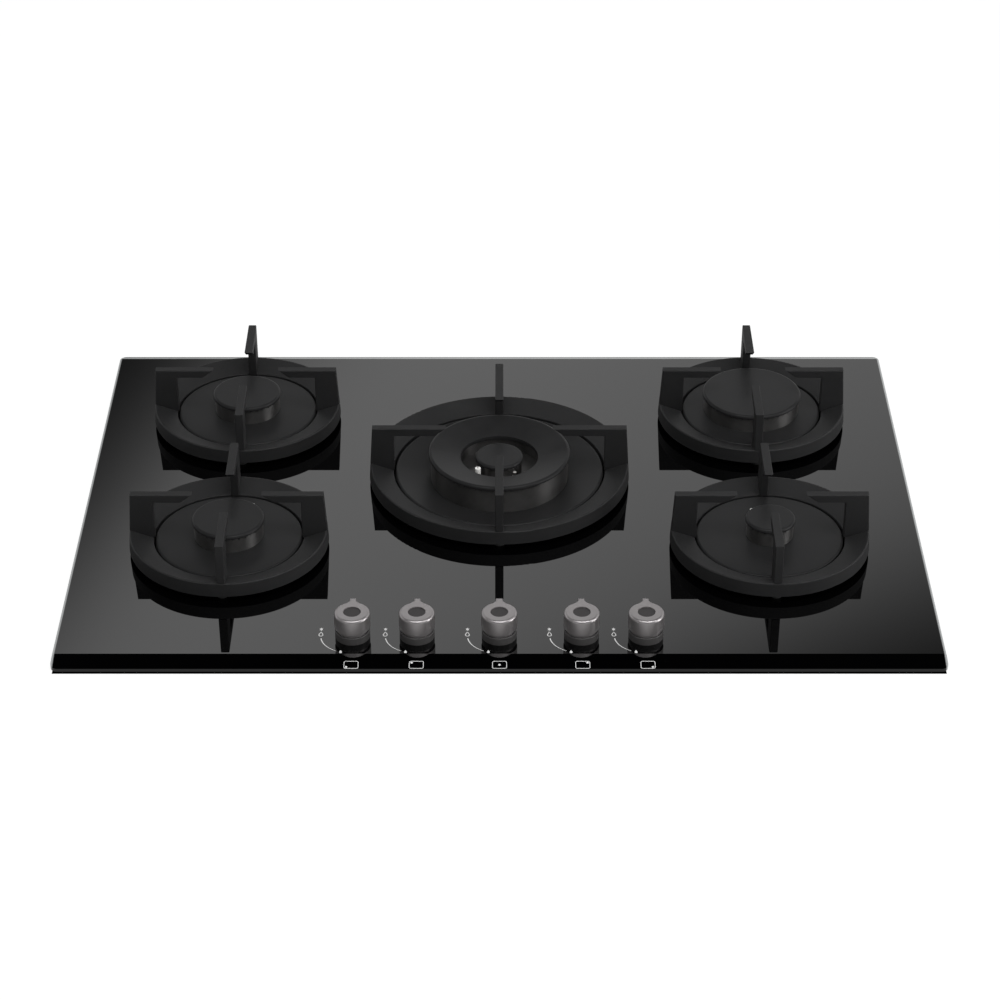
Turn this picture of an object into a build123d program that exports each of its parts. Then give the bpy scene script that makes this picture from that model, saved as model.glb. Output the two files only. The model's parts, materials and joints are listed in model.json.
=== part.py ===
from build123d import *

import os
from dataclasses import dataclass
from math import cos, radians, sin, tan

# A built-in gas hob: a black glass top, five burners, five pan supports and five
# push-and-turn knobs, with the gas and ignition parts in a steel case underneath.
# The origin is the centre of the case's underside. +Z is up and -Y is the front,
# where the knobs are. All sizes are in millimetres.

os.makedirs("parts", exist_ok=True)

# ---- Glass top --------------------------------------------------------------
glass_width = 750.0
glass_depth = 520.0
glass_thickness = 6.0
glass_corner = 6.0
edge_round = 0.8
bevel_width = 17.4
bevel_angle = 10.4

# ---- Seal and case ----------------------------------------------------------
seal_thickness = 1.8
seal_width = 10.0
seal_inset = 3.0
case_width = 554.0
case_depth = 470.0
case_drop = 45.2
case_sheet = 1.0
case_flange = 8.0
case_corner = 8.0
vent_length = 36.0
vent_width = 4.0
vent_pitch = 10.0
vent_rows = 6
vent_x = 130.0
vent_y = 60.0

worktop_z = case_drop
glass_under = worktop_z + seal_thickness
glass_top = glass_under + glass_thickness
case_rear = case_depth / 2

# ---- Worktop clamps ---------------------------------------------------------
worktop_thickness = 30.0
clamp_from_rear = 85.0
clamp_width = 24.0
clamp_sheet = 2.0
clamp_reach = 22.0
clamp_leg = 26.0
clamp_gap = 0.5
clamp_screw_radius = 2.0
clamp_head_radius = 4.0
clamp_head_height = 2.6
clamp_screw_length = 10.0
recess_length = 3.0
recess_width = 1.0
recess_depth = 1.3
screw_clearance = 0.2

clamp_y = case_rear - clamp_from_rear

# ---- Pan supports -----------------------------------------------------------
support_height = 55.3
support_draft = 0.062
ring_top = 19.0
ring_inner_top = 11.2
ring_skin = 4.5
ring_wall = 5.0
ring_lip = 4.0
ring_edge_round = 1.2
ring_lip_round = 0.8
finger_count = 4
finger_thickness = 7.5
finger_post = 20.0
finger_arm = 7.6
finger_slant = 10.3
finger_sink = 3.2
finger_edge_round = 0.8

# ---- Rubber feet under the pan supports ----------------------------------------
foot_height = 5.7
foot_radius = 5.0
foot_stem_radius = 2.4
foot_stem_length = 4.0
foot_clearance = 0.05
foot_boss_radius = 5.5

# ---- Burner plates, crowns and caps --------------------------------------------
plate_sheet = 1.5
plate_rim_height = 11.0
plate_rim_round = 2.0
plate_gap = 1.5
crown_wall = 3.2
crown_floor = 2.4
crown_recess = 2.6
port_width = 1.1
port_depth = 1.9
cap_height = 30.5
cap_thickness = 3.4
cap_edge_round = 2.4
cap_under_round = 0.6
cap_lip_depth = 3.0
cap_lip_wall = 2.0
cap_lip_clearance = 0.6
venturi_wall = 2.0
venturi_drop = 12.0

# ---- Burner cups under the glass ------------------------------------------------
cup_bottom = 17.0
cup_floor = 3.0
cup_wall = 3.0
cup_flange = 3.0
cup_flange_width = 5.0
glass_hole_gap = 1.0
lug_radius = 4.0
lug_inset = 5.5
lug_drop = 6.0
lug_count = 3
plate_screw_radius = 1.7
plate_screw_length = 9.0
plate_head_radius = 3.0
plate_head_height = 1.8
plate_bore_inset = 10.0
holder_radius = 8.0
holder_top = 34.0
holder_arm_radius = 5.5
injector_radius = 4.0
injector_head = 5.5
injector_head_height = 4.0
injector_stem = 6.0
jet_radius = 0.6
fit_clearance = 0.05

# ---- Spark plugs and thermocouples ----------------------------------------------
plug_gap = 6.5
plug_bottom = 12.0
plug_height = 23.0
plug_radius = 2.6
plug_collar_radius = 4.2
plug_collar_height = 3.0
plug_hole_clearance = 0.4
electrode_radius = 0.6
electrode_height = 1.5
couple_radius = 2.2
couple_bottom = 30.0
couple_height = 17.5
couple_tip_radius = 1.5
couple_tip_height = 4.0
sensor_seat_gap = 0.3
sensor_glass_hole = 5.0

# ---- Knobs ----------------------------------------------------------------------
knob_x = (-124.0, -69.5, 0.0, 69.5, 124.0)
knob_from_case = 18.7
knob_radius = 15.2
knob_base = 10.2
knob_top = 24.5
knob_edge_round = 2.2
knob_hub_radius = 13.2
knob_hub_base = 4.6
knob_dish_radius = 7.5
knob_dish_depth = 0.7
pointer_width = 6.3
pointer_reach = 21.0
pointer_thickness = 4.6
pointer_root = 13.0
pointer_root_width = 14.0
pointer_shoulder = 17.2
knob_push = 3.0
bezel_radius = 14.8
bezel_height = 6.9
bezel_well = 13.6
bezel_floor = 1.0
bezel_bore = 4.2
bezel_spigot = 6.7
bezel_spigot_gap = 0.3
bezel_edge_round = 0.8

knob_y = knob_from_case - case_rear

# ---- Gas taps -------------------------------------------------------------------
spindle_radius = 3.0
spindle_flat = 2.2
spindle_bottom = 21.0
spindle_in_knob = 11.5
spindle_collar_radius = 5.5
spindle_collar_base = 39.0
spindle_collar_height = 2.0
tap_plug_radius = 7.0
tap_plug_bottom = 16.3
tap_plug_top = 34.0
tap_fit = 0.04
tap_seat_gap = 0.3
tap_half_width = 10.0
tap_front = 12.0
tap_back = 14.0
tap_bottom = 11.0
tap_corner = 2.5
gas_way_radius = 2.0
tap_outlet_radius = 5.0
tap_outlet_reach = 5.0

# ---- Gas rail, inlet and pipes ----------------------------------------------------
rail_radius = 6.5
rail_wall = 1.5
rail_z = 14.0
rail_set_back = 28.0
rail_left = -146.0
rail_right = 165.0
rail_bend = 28.0
rail_foot_width = 12.0
rail_foot_x = (-35.0, 35.0)
rail_foot_y = 90.0
rail_saddle_clearance = 0.05
inlet_thread_radius = 10.48
inlet_thread_length = 14.0
inlet_flange_radius = 12.6
inlet_flange_width = 4.0
inlet_bore = 6.0
inlet_socket_radius = 9.5
inlet_socket_depth = 18.0
rail_in_inlet = 8.0
pipe_radius = 3.0
pipe_wall = 0.8
pipe_z = 26.0
pipe_socket_depth = 7.0
pipe_bend = 22.0
pipe_tight_bend = 11.0
pipe_run_x = 100.0
pipe_first_run = 44.0
pipe_slant = 22.0

# ---- Ignition, switches and mains inlet ---------------------------------------------
module_x = -115.0
module_from_rear = 20.0
module_width = 70.0
module_depth = 50.0
module_height = 26.0
module_corner = 2.0
lead_radius = 1.2
lead_z = 3.4
lead_bend = 5.0
lead_offset = 4.8
lead_front_left = 10.0
lead_to_switches = 25.0
lead_front_right = 40.0
lead_wok = 55.0
switch_width = 8.0
switch_depth = 16.0
switch_top = 33.0
lever_thickness = 0.8
lever_width = 5.0
lever_gap = 0.4
mains_x = -40.0
mains_box_width = 44.0
mains_box_depth = 28.0
mains_box_height = 24.0
mains_spout_radius = 7.5
mains_spout_reach = 14.0
mains_bore = 4.0
mains_bore_depth = 24.0
mains_z = 13.0
wall_hole_clearance = 0.5

module_y = case_rear - module_from_rear - module_depth / 2


@dataclass
class Burner:
    """One burner: where it stands and the sizes that differ between burners."""

    name: str
    x: float
    y: float
    support_radius: float
    ring_bore: float
    finger_tip: float
    hole: float
    crown: float
    seat: float
    cap: float
    ports: int
    venturi: float
    pipe_angle: float
    spark_angle: float
    couple_angle: float
    spark_radius: float


burner_from_side = 37.8
rear_from_case = 95.4
front_from_case = 156.0
wok_behind_middle = 3.2
left_x = burner_from_side - case_width / 2
right_x = -left_x
rear_y = case_rear - rear_from_case
front_y = front_from_case - case_rear
wok_y = (front_y + rear_y) / 2 + wok_behind_middle

small_support = 85.0
small_bore = 66.4
small_tip = 30.5
small_seat = 12.5
medium_hole = 28.0
medium_crown = 30.4
medium_cap = 32.0
medium_port_count = 32
medium_venturi = 9.0
rapid_hole = 30.0
rapid_crown = 44.6
rapid_cap = 46.4
rapid_port_count = 48
rapid_venturi = 10.0
small_hole = 19.0
small_crown = 20.6
small_cap = 22.2
small_port_count = 20
small_venturi = 7.0

wok_support = 116.0
wok_bore = 97.0
wok_tip = 48.8
wok_seat = 3.4
wok_hole = 58.0
wok_crown = 63.0
wok_cap = 65.0
wok_port_count = 72
wok_venturi = 10.0
wok_spark_radius = 27.2
wok_channel_outer = 37.5
wok_floor_height = 7.0
wok_inner_crown = 20.4
wok_inner_cap = 22.0
wok_inner_height = 25.5
wok_inner_port_count = 16
wok_cap_bore = 35.5
wok_cap_bore_height = 24.0
wok_cap_rim = 3.0
wok_channel_gap = 0.2

inward_left = 60.0
inward_right = 120.0

rear_left = Burner(
    "rear_left", left_x, rear_y, small_support, small_bore, small_tip, medium_hole, medium_crown,
    small_seat, medium_cap, medium_port_count, medium_venturi, 0.0, inward_left, inward_right,
    medium_crown + plug_gap,
)
front_left = Burner(
    "front_left", left_x, front_y, small_support, small_bore, small_tip, medium_hole, medium_crown,
    small_seat, medium_cap, medium_port_count, medium_venturi, 0.0, inward_left, inward_right,
    medium_crown + plug_gap,
)
rear_right = Burner(
    "rear_right", right_x, rear_y, small_support, small_bore, small_tip, rapid_hole, rapid_crown,
    small_seat, rapid_cap, rapid_port_count, rapid_venturi, 180.0, inward_right, inward_left,
    rapid_crown + plug_gap,
)
front_right = Burner(
    "front_right", right_x, front_y, small_support, small_bore, small_tip, small_hole, small_crown,
    small_seat, small_cap, small_port_count, small_venturi, 180.0, inward_right, inward_left,
    small_crown + plug_gap,
)
wok = Burner(
    "wok", 0.0, wok_y, wok_support, wok_bore, wok_tip, wok_hole, wok_crown,
    wok_seat, wok_cap, wok_port_count, wok_venturi, 270.0, 224.0, 301.0,
    wok_spark_radius,
)
small_burners = (rear_left, front_left, rear_right, front_right)
burners = (*small_burners, wok)


# ---- Helpers ----------------------------------------------------------------------
def save(piece, name):
    """Label a finished piece and write its STEP file."""
    piece.part.label = name
    export_step(piece.part, f"parts/{name}.step")


def upright(x, y, z=0.0):
    """A vertical plane through a point, facing the front, with +Z as its up."""
    return Plane(origin=(x, y, z), x_dir=(1, 0, 0), z_dir=(0, -1, 0))


def sideways(x, y, z=0.0):
    """A vertical plane through a point, facing +X, with +Z as its up."""
    return Plane(origin=(x, y, z), x_dir=(0, 1, 0), z_dir=(1, 0, 0))


def level(x, y, z):
    """A horizontal plane through a point."""
    return Plane(origin=(x, y, z))


def vertical_axis(x, y):
    return Axis((x, y, 0), (0, 0, 1))


def band(inner, outer, bottom, top):
    """A rectangle of a turned section, given by its radii and its heights."""
    with Locations(((inner + outer) / 2, (bottom + top) / 2)):
        Rectangle(outer - inner, top - bottom)


def polar(burner, radius, angle):
    """The x and y of a point at a radius and angle from a burner's centre."""
    return (
        burner.x + radius * cos(radians(angle)),
        burner.y + radius * sin(radians(angle)),
    )


def lug_places(burner):
    """Where the plate's screws stand, clear of the arm that the gas comes through."""
    step = 360 / lug_count
    first = burner.pipe_angle + step / 2
    return [polar(burner, burner.hole - lug_inset, first + turn * step) for turn in range(lug_count)]


def plate_rim(burner):
    return burner.ring_bore - plate_gap


def plate_height(burner, radius):
    """Height of the plate's top surface above the glass, at a radius."""
    share = (radius - burner.crown) / (plate_rim(burner) - burner.crown)
    return burner.seat + (plate_rim_height - burner.seat) * max(share, 0.0)


def cover_height(burner):
    """Height above the glass of what a spark plug comes up through, on its underside."""
    if burner is wok:
        return wok_floor_height
    return plate_height(burner, burner.spark_radius + plug_collar_radius) - plate_sheet


def sensors(burner):
    """The spark plug's place and the thermocouple's place."""
    return (
        polar(burner, burner.spark_radius, burner.spark_angle),
        polar(burner, burner.spark_radius, burner.couple_angle),
    )


# ---- Glass top ----------------------------------------------------------------------
with BuildPart() as glass_panel:
    with BuildSketch(Plane.XY.offset(glass_under)):
        RectangleRounded(glass_width, glass_depth, glass_corner)
    extrude(amount=glass_thickness)
    top_rim = glass_panel.faces().sort_by(Axis.Z)[-1].outer_wire().edges()
    fillet(top_rim, radius=edge_round)
    with BuildSketch(sideways(-glass_width / 2, -glass_depth / 2)):
        with BuildLine():
            bevel_drop = bevel_width * tan(radians(bevel_angle))
            Polyline(
                (0, glass_top - bevel_drop),
                (bevel_width, glass_top),
                (bevel_width, glass_top + bevel_drop),
                (-bevel_width, glass_top + bevel_drop),
                (-bevel_width, glass_top - 2 * bevel_drop),
                close=True,
            )
        make_face()
    extrude(amount=glass_width, mode=Mode.SUBTRACT)
    for burner in burners:
        with BuildSketch(level(burner.x, burner.y, glass_under)):
            Circle(burner.hole)
        extrude(amount=glass_thickness, mode=Mode.SUBTRACT)
    for burner in small_burners:
        for x, y in sensors(burner):
            with BuildSketch(level(x, y, glass_under)):
                Circle(sensor_glass_hole)
            extrude(amount=glass_thickness, mode=Mode.SUBTRACT)
    with BuildSketch(level(0, knob_y, glass_under)):
        with Locations(*[(x, 0) for x in knob_x]):
            Circle(bezel_spigot + bezel_spigot_gap)
    extrude(amount=glass_thickness, mode=Mode.SUBTRACT)
save(glass_panel, "glass_panel")

with BuildPart() as glass_seal:
    with BuildSketch(Plane.XY.offset(worktop_z)):
        outer_width = glass_width - 2 * seal_inset
        outer_depth = glass_depth - 2 * seal_inset
        RectangleRounded(outer_width, outer_depth, glass_corner)
        RectangleRounded(
            outer_width - 2 * seal_width, outer_depth - 2 * seal_width, glass_corner, mode=Mode.SUBTRACT
        )
    extrude(amount=seal_thickness)
save(glass_seal, "glass_seal")


# ---- Case -----------------------------------------------------------------------------
inlet_x = rail_right
rail_y = knob_y + rail_set_back

with BuildPart() as bottom_case:
    with BuildSketch(Plane.XY):
        RectangleRounded(case_width, case_depth, case_corner)
    extrude(amount=glass_under)
    with BuildSketch(Plane.XY.offset(case_sheet)):
        RectangleRounded(case_width - 2 * case_sheet, case_depth - 2 * case_sheet, case_corner - case_sheet)
    extrude(amount=glass_under, mode=Mode.SUBTRACT)
    with BuildSketch(Plane.XY.offset(glass_under - case_sheet)):
        RectangleRounded(
            case_width + 2 * case_flange, case_depth + 2 * case_flange, case_corner + case_flange
        )
        RectangleRounded(
            case_width - 2 * case_sheet,
            case_depth - 2 * case_sheet,
            case_corner - case_sheet,
            mode=Mode.SUBTRACT,
        )
    extrude(amount=case_sheet)
    with BuildSketch(Plane.XY):
        with Locations((-vent_x, vent_y), (vent_x, vent_y)):
            with GridLocations(0, vent_pitch, 1, vent_rows):
                SlotOverall(vent_length, vent_width)
    extrude(amount=case_sheet, mode=Mode.SUBTRACT)
    with BuildSketch(upright(0, case_rear)):
        with Locations((inlet_x, rail_z)):
            Circle(inlet_socket_radius + wall_hole_clearance)
        with Locations((mains_x, mains_z)):
            Circle(mains_spout_radius + wall_hole_clearance)
    extrude(amount=case_sheet, mode=Mode.SUBTRACT)
    with BuildSketch(sideways(-case_width / 2, 0)):
        with Locations((-clamp_y, clamp_leg / 2), (clamp_y, clamp_leg / 2)):
            Circle(clamp_screw_radius + screw_clearance)
    extrude(amount=case_width, mode=Mode.SUBTRACT)
save(bottom_case, "bottom_case")


# ---- Worktop clamps: an angle with a toe that presses up under the worktop ---------------
clamp_toe = worktop_z - worktop_thickness - clamp_gap

with BuildPart() as worktop_clamps:
    for side in (-1, 1):
        for y in (-clamp_y, clamp_y):
            with BuildSketch(upright(0, y + clamp_width / 2)):
                wall = side * case_width / 2
                with BuildLine():
                    Polyline(
                        (wall, clamp_leg),
                        (wall, clamp_sheet),
                        (wall + side * clamp_reach, clamp_sheet),
                        (wall + side * clamp_reach, clamp_toe),
                        (wall + side * (clamp_reach - clamp_sheet), clamp_toe),
                        (wall + side * (clamp_reach - clamp_sheet), 2 * clamp_sheet),
                        (wall + side * clamp_sheet, 2 * clamp_sheet),
                        (wall + side * clamp_sheet, clamp_leg),
                        close=True,
                    )
                make_face()
            extrude(amount=clamp_width)
    with BuildSketch(sideways(-case_width, 0)):
        with Locations((-clamp_y, clamp_leg / 2), (clamp_y, clamp_leg / 2)):
            Circle(clamp_screw_radius + screw_clearance)
    extrude(amount=2 * case_width, mode=Mode.SUBTRACT)
save(worktop_clamps, "worktop_clamps")

with BuildPart() as clamp_screws:
    for side in (-1, 1):
        for y in (-clamp_y, clamp_y):
            head_face = side * (case_width / 2 + clamp_sheet)
            outward = Plane(origin=(head_face, y, clamp_leg / 2), z_dir=(side, 0, 0))
            with BuildSketch(outward):
                Circle(clamp_head_radius)
            extrude(amount=clamp_head_height)
            with BuildSketch(outward.offset(-clamp_screw_length)):
                Circle(clamp_screw_radius)
            extrude(amount=clamp_screw_length)
            with BuildSketch(outward.offset(clamp_head_height)):
                Rectangle(recess_length, recess_width)
                Rectangle(recess_width, recess_length)
            extrude(amount=-recess_depth, mode=Mode.SUBTRACT)
save(clamp_screws, "clamp_screws")


# ---- Burner cups: cast cups that hang under the glass, with the injector holder inside ----
def tube_along(x, y, z, angle, radius, start, end, mode=Mode.ADD):
    """A level round bar from one distance to another along a bearing."""
    direction = (cos(radians(angle)), sin(radians(angle)), 0)
    with BuildSketch(Plane(origin=(x, y, z), z_dir=direction).offset(start)) as end_face:
        Circle(radius)
    extrude(end_face.sketch, amount=end - start, mode=mode)


with BuildPart() as burner_cups:
    for burner in burners:
        neck = burner.hole - glass_hole_gap
        neck_top = glass_top + burner.seat - plate_sheet
        with BuildSketch(upright(burner.x, burner.y)):
            band(neck - cup_wall, neck, cup_bottom, neck_top)
            band(0, neck, cup_bottom, cup_bottom + cup_floor)
            band(neck - cup_wall, burner.hole + cup_flange_width, glass_under - cup_flange, glass_under)
            band(0, holder_radius, cup_bottom, holder_top)
        revolve(axis=vertical_axis(burner.x, burner.y))
        tube_along(burner.x, burner.y, pipe_z, burner.pipe_angle, holder_arm_radius, 0, neck)
        for x, y in lug_places(burner):
            with BuildSketch(level(x, y, neck_top)):
                Circle(lug_radius)
            extrude(amount=-(neck_top - glass_under + lug_drop))
            with BuildSketch(level(x, y, neck_top)):
                Circle(plate_screw_radius)
            extrude(amount=-plate_screw_length, mode=Mode.SUBTRACT)
        with BuildSketch(level(burner.x, burner.y, holder_top)):
            Circle(injector_radius)
        extrude(amount=pipe_z - holder_top, mode=Mode.SUBTRACT)
        socket = neck - pipe_socket_depth
        tube_along(
            burner.x, burner.y, pipe_z, burner.pipe_angle, pipe_radius + fit_clearance, socket, neck,
            mode=Mode.SUBTRACT,
        )
        tube_along(
            burner.x, burner.y, pipe_z, burner.pipe_angle, gas_way_radius, 0, socket,
            mode=Mode.SUBTRACT,
        )
    for x, y in sensors(wok):
        with BuildSketch(level(x, y, cup_bottom)):
            Circle(plug_collar_radius)
        extrude(amount=cup_floor, mode=Mode.SUBTRACT)
save(burner_cups, "burner_cups")

with BuildPart() as injectors:
    for burner in burners:
        with BuildSketch(level(burner.x, burner.y, holder_top)):
            RegularPolygon(injector_head, 6)
        extrude(amount=injector_head_height)
        with BuildSketch(level(burner.x, burner.y, holder_top)):
            Circle(injector_radius - fit_clearance)
        extrude(amount=-injector_stem)
        with BuildSketch(level(burner.x, burner.y, holder_top - injector_stem)):
            Circle(gas_way_radius)
        extrude(amount=injector_stem, mode=Mode.SUBTRACT)
        with BuildSketch(level(burner.x, burner.y, holder_top)):
            Circle(jet_radius)
        extrude(amount=injector_head_height, mode=Mode.SUBTRACT)
save(injectors, "injectors")


# ---- Burner plates: enamelled steel pressings that stand on the glass --------------------
def make_plate(burner):
    rim = plate_rim(burner)
    bore = burner.hole - plate_bore_inset
    with BuildPart() as plate:
        with BuildSketch(upright(burner.x, burner.y, glass_top)) as section:
            with BuildLine():
                Polyline(
                    (bore, burner.seat),
                    (burner.crown, burner.seat),
                    (rim, plate_rim_height),
                    (rim, 0),
                    (rim - plate_sheet, 0),
                    (rim - plate_sheet, plate_rim_height - plate_sheet),
                    (burner.crown, burner.seat - plate_sheet),
                    (bore, burner.seat - plate_sheet),
                    close=True,
                )
            make_face()
            rim_corner = section.vertices().group_by(Axis.X)[-1].sort_by(Axis.Y)[-1]
            fillet(rim_corner, radius=plate_rim_round)
        revolve(axis=vertical_axis(burner.x, burner.y))
        for x, y in lug_places(burner):
            with BuildSketch(level(x, y, glass_top)):
                Circle(plate_screw_radius + screw_clearance)
            extrude(amount=burner.seat, mode=Mode.SUBTRACT)
        if burner is not wok:
            holes = zip(sensors(burner), (plug_radius, couple_radius))
            for (x, y), radius in holes:
                with BuildSketch(level(x, y, glass_top)):
                    Circle(radius + plug_hole_clearance)
                extrude(amount=cap_height, mode=Mode.SUBTRACT)
    return plate


for burner in burners:
    save(make_plate(burner), f"burner_plate_{burner.name}")

with BuildPart() as plate_screws:
    for burner in burners:
        for x, y in lug_places(burner):
            with BuildSketch(level(x, y, glass_top + burner.seat)):
                Circle(plate_head_radius)
            extrude(amount=plate_head_height)
            with BuildSketch(level(x, y, glass_top + burner.seat)):
                Circle(plate_screw_radius - fit_clearance)
            extrude(amount=-(plate_screw_length + plate_sheet - screw_clearance))
save(plate_screws, "plate_screws")


# ---- Crowns: the cast flame spreaders with their ring of ports ---------------------------
def cut_ports(x, y, top, radius, wall, count):
    """Cut a ring of open slots down into the top of a crown's wall."""
    with BuildSketch(level(x, y, top)) as ports:
        with PolarLocations(radius - wall / 2, count):
            Rectangle(2 * wall, port_width)
    extrude(ports.sketch, amount=-port_depth, mode=Mode.SUBTRACT)


def make_crown(burner):
    top = cap_height - cap_thickness
    floor = burner.seat + crown_recess
    inner = burner.crown - crown_wall
    with BuildPart() as crown:
        with BuildSketch(upright(burner.x, burner.y, glass_top)):
            band(inner, burner.crown, burner.seat, top)
            band(burner.venturi - venturi_wall, inner, floor, floor + crown_floor)
            band(burner.venturi - venturi_wall, burner.venturi, -venturi_drop, floor + crown_floor)
        revolve(axis=vertical_axis(burner.x, burner.y))
        cut_ports(burner.x, burner.y, glass_top + top, burner.crown, crown_wall, burner.ports)
    return crown


for burner in small_burners:
    save(make_crown(burner), f"burner_crown_{burner.name}")

wok_ring_top = cap_height - cap_thickness
wok_inner_top = wok_inner_height - cap_thickness
wok_channel_top = wok_cap_bore_height - cap_thickness - wok_channel_gap
with BuildPart() as wok_crown_casting:
    with BuildSketch(upright(wok.x, wok.y, glass_top)):
        floor = wok_floor_height
        band(wok.crown - crown_wall, wok.crown, wok.seat, wok_ring_top)
        band(wok_channel_outer, wok_channel_outer + crown_wall, floor, wok_channel_top)
        band(wok.venturi - venturi_wall, wok.crown - crown_wall, floor, floor + crown_floor)
        band(wok_inner_crown - crown_wall, wok_inner_crown, floor, wok_inner_top)
        band(wok.venturi - venturi_wall, wok.venturi, -venturi_drop, floor)
    revolve(axis=vertical_axis(wok.x, wok.y))
    cut_ports(wok.x, wok.y, glass_top + wok_ring_top, wok.crown, crown_wall, wok.ports)
    cut_ports(wok.x, wok.y, glass_top + wok_inner_top, wok_inner_crown, crown_wall, wok_inner_port_count)
    for (x, y), radius in zip(sensors(wok), (plug_radius, couple_radius)):
        with BuildSketch(level(x, y, glass_top)):
            Circle(radius + plug_hole_clearance)
        extrude(amount=wok_ring_top, mode=Mode.SUBTRACT)
save(wok_crown_casting, "burner_crown_wok")


# ---- Caps: enamelled lids that rest on the crowns and locate inside their walls -----------
def round_rim(section):
    """Round the outer corners of a cap's turned section, the upper one more."""
    rim = section.vertices().group_by(Axis.X)[-1].sort_by(Axis.Y)
    fillet(rim[0], radius=cap_under_round)
    rim = section.vertices().group_by(Axis.X)[-1].sort_by(Axis.Y)
    fillet(rim[-1], radius=cap_edge_round)


def locating_lip(crown, under):
    """The part of a cap's section that hangs inside the crown's wall."""
    lip_outer = crown - crown_wall - cap_lip_clearance
    band(lip_outer - cap_lip_wall, lip_outer, under - cap_lip_depth, under)


def make_cap(x, y, radius, top, crown):
    """A round lid with a rounded rim."""
    under = top - cap_thickness
    with BuildPart() as cap:
        with BuildSketch(upright(x, y, glass_top)) as section:
            band(0, radius, under, top)
            round_rim(section)
            locating_lip(crown, under)
        revolve(axis=vertical_axis(x, y))
    return cap


for burner in small_burners:
    cap = make_cap(burner.x, burner.y, burner.cap, cap_height, burner.crown)
    save(cap, f"burner_cap_{burner.name}")
centre_cap = make_cap(wok.x, wok.y, wok_inner_cap, wok_inner_height, wok_inner_crown)
save(centre_cap, "burner_cap_wok_centre")

# The ring cap is a shallow dish: a flat rim on the crown's wall, then a cone down to the bore.
with BuildPart() as ring_cap:
    with BuildSketch(upright(wok.x, wok.y, glass_top)) as ring_section:
        with BuildLine():
            Polyline(
                (wok.cap, wok_ring_top),
                (wok.cap, cap_height),
                (wok.cap - wok_cap_rim, cap_height),
                (wok_cap_bore, wok_cap_bore_height),
                (wok_cap_bore, wok_cap_bore_height - cap_thickness),
                (wok.crown - crown_wall - cap_lip_clearance, wok_ring_top),
                close=True,
            )
        make_face()
        round_rim(ring_section)
        locating_lip(wok.crown, wok_ring_top)
    revolve(axis=vertical_axis(wok.x, wok.y))
save(ring_cap, "burner_cap_wok_ring")


# ---- Pan supports: cast rings with four fingers, on rubber feet ---------------------------
def support_edge(burner, height):
    """Outer radius of the drafted casting at a height above the glass."""
    return burner.support_radius + support_draft * (support_height - height)


def foot_circle(burner):
    """Radius on which the feet stand."""
    return (burner.ring_bore + support_edge(burner, foot_height)) / 2


def make_finger(burner):
    """The finger that points along +X: a post on the ring and an arm towards the centre."""
    top_edge = support_edge(burner, support_height)
    ring_edge = support_edge(burner, ring_top)
    post_inner = top_edge - finger_post
    arm_under = support_height - finger_arm
    with BuildPart() as finger:
        with BuildSketch(upright(burner.x, burner.y + finger_thickness / 2, glass_top)):
            with BuildLine():
                Polyline(
                    (top_edge, support_height),
                    (ring_edge, ring_top),
                    (ring_edge - ring_wall / 2, ring_top - finger_sink),
                    (post_inner + ring_lip, ring_inner_top - finger_sink / 2),
                    (post_inner, ring_inner_top),
                    (post_inner, arm_under),
                    (burner.finger_tip + finger_slant, arm_under),
                    (burner.finger_tip, support_height),
                    close=True,
                )
            make_face()
        extrude(amount=finger_thickness)
        outline = finger.edges().filter_by(Axis.Y, reverse=True)
        fillet(outline, radius=finger_edge_round)
    return finger


def make_support(burner):
    lower = support_edge(burner, foot_height)
    upper = support_edge(burner, ring_top)
    slope = (ring_top - ring_inner_top) / (upper - burner.ring_bore)
    lip = burner.ring_bore + ring_lip
    wall = lower - ring_wall
    lip_roof = ring_inner_top + slope * ring_lip - ring_skin
    wall_roof = ring_top - slope * ring_wall - ring_skin
    finger = make_finger(burner)
    with BuildPart() as support:
        with BuildSketch(upright(burner.x, burner.y, glass_top)) as section:
            with BuildLine():
                Polyline(
                    (lower, foot_height),
                    (upper, ring_top),
                    (burner.ring_bore, ring_inner_top),
                    (burner.ring_bore, foot_height),
                    (lip, foot_height),
                    (lip, lip_roof),
                    (wall, wall_roof),
                    (wall, foot_height),
                    close=True,
                )
            make_face()
            fillet(section.vertices().sort_by(Axis.Y)[-1], radius=ring_edge_round)
            lip_corner = section.vertices().group_by(Axis.X)[0].sort_by(Axis.Y)[-1]
            fillet(lip_corner, radius=ring_lip_round)
        revolve(axis=vertical_axis(burner.x, burner.y))
        for turn in range(finger_count):
            angle = turn * 360 / finger_count
            add(finger.part.rotate(vertical_axis(burner.x, burner.y), angle))
        with BuildSketch(level(burner.x, burner.y, glass_top + foot_height)):
            with PolarLocations(foot_circle(burner), finger_count):
                Circle(foot_boss_radius)
        extrude(amount=foot_stem_length + ring_skin)
        with BuildSketch(level(burner.x, burner.y, glass_top + foot_height)):
            with PolarLocations(foot_circle(burner), finger_count):
                Circle(foot_stem_radius + foot_clearance)
        extrude(amount=foot_stem_length + foot_clearance, mode=Mode.SUBTRACT)
    return support


def make_feet(burner):
    with BuildPart() as feet:
        with BuildSketch(level(burner.x, burner.y, glass_top)):
            with PolarLocations(foot_circle(burner), finger_count):
                Circle(foot_radius)
        extrude(amount=foot_height)
        with BuildSketch(level(burner.x, burner.y, glass_top + foot_height)):
            with PolarLocations(foot_circle(burner), finger_count):
                Circle(foot_stem_radius)
        extrude(amount=foot_stem_length)
    return feet


for burner in burners:
    save(make_support(burner), f"pan_support_{burner.name}")
    save(make_feet(burner), f"support_feet_{burner.name}")


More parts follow.
